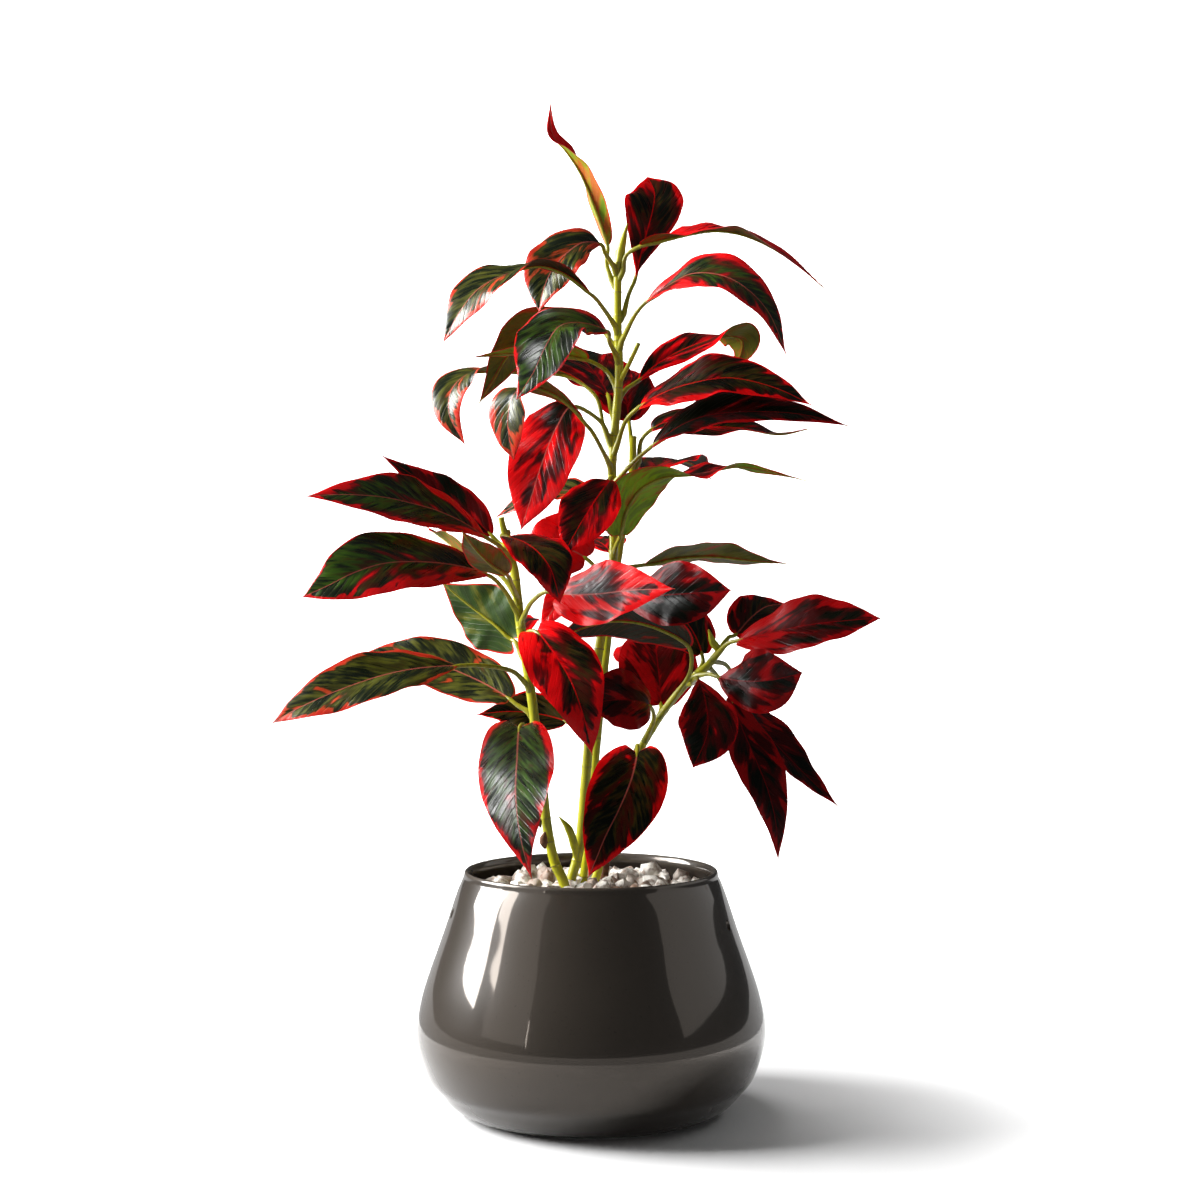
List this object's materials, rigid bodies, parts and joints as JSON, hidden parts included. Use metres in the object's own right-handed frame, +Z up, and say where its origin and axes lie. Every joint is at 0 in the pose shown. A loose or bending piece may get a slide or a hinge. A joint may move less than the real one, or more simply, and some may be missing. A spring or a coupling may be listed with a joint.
{
  "type": "potted ti plant",
  "caption": "Upright foliage plant with broad red and dark green leaves on thin canes, in a round glazed pot topped with pebbles.",
  "frame": {"origin": "middle of the pot's flat foot, on the surface that it stands on", "axes": "+Z up along the pot's axis, -Y towards the side that the plant is seen from, +X to the right from there"},
  "size_m": [0.4105, 0.3521, 0.7206],
  "materials": {
    "pot_glaze": "gloss",
    "potting_soil": "matte",
    "pebbles": "matte",
    "cane_bark": "satin",
    "leaf_red": "gloss",
    "leaf_dark": "gloss",
    "leaf_green": "gloss"
  },
  "bodies": {
    "root": {"pot": "pot_glaze", "soil": "potting_soil", "stones": "pebbles", "cane_main": "cane_bark", "cane_left": "cane_bark", "cane_right": "cane_bark", "cane_rear": "cane_bark", "leaf_main_01": "leaf_red", "leaf_main_02": "leaf_dark", "leaf_main_03": "leaf_red", "leaf_main_04": "leaf_green", "leaf_main_05": "leaf_dark", "leaf_main_06": "leaf_dark", "leaf_main_07": "leaf_dark", "leaf_rear_01": "leaf_dark", "leaf_main_08": "leaf_red", "leaf_main_09": "leaf_green", "leaf_main_10": "leaf_dark", "leaf_main_11": "leaf_dark", "leaf_main_12": "leaf_red", "leaf_main_13": "leaf_dark", "leaf_main_14": "leaf_green", "leaf_main_15": "leaf_green", "leaf_main_16": "leaf_green", "leaf_main_17": "leaf_green", "leaf_main_18": "leaf_red", "leaf_main_19": "leaf_green", "leaf_main_20": "leaf_dark", "leaf_main_21": "leaf_green", "leaf_rear_02": "leaf_dark", "leaf_main_22": "leaf_red", "leaf_left_01": "leaf_dark", "leaf_left_02": "leaf_green", "leaf_left_03": "leaf_dark", "leaf_left_04": "leaf_green", "leaf_left_05": "leaf_dark", "leaf_left_06": "leaf_green", "leaf_left_07": "leaf_red", "leaf_left_08": "leaf_dark", "leaf_main_23": "leaf_dark", "leaf_left_09": "leaf_red", "leaf_left_10": "leaf_green", "leaf_left_11": "leaf_red", "leaf_left_12": "leaf_dark", "leaf_right_01": "leaf_green", "leaf_right_02": "leaf_red", "leaf_right_03": "leaf_dark", "leaf_right_04": "leaf_green", "leaf_right_05": "leaf_green", "leaf_right_06": "leaf_dark", "leaf_right_07": "leaf_green", "leaf_right_08": "leaf_green", "leaf_right_09": "leaf_red", "leaf_right_10": "leaf_dark", "leaf_right_11": "leaf_red", "leaf_main_24": "leaf_red", "leaf_rear_03": "leaf_green", "leaf_rear_04": "leaf_red", "leaf_rear_05": "leaf_dark", "leaf_left_13": "leaf_red"}
  },
  "joints": []
}
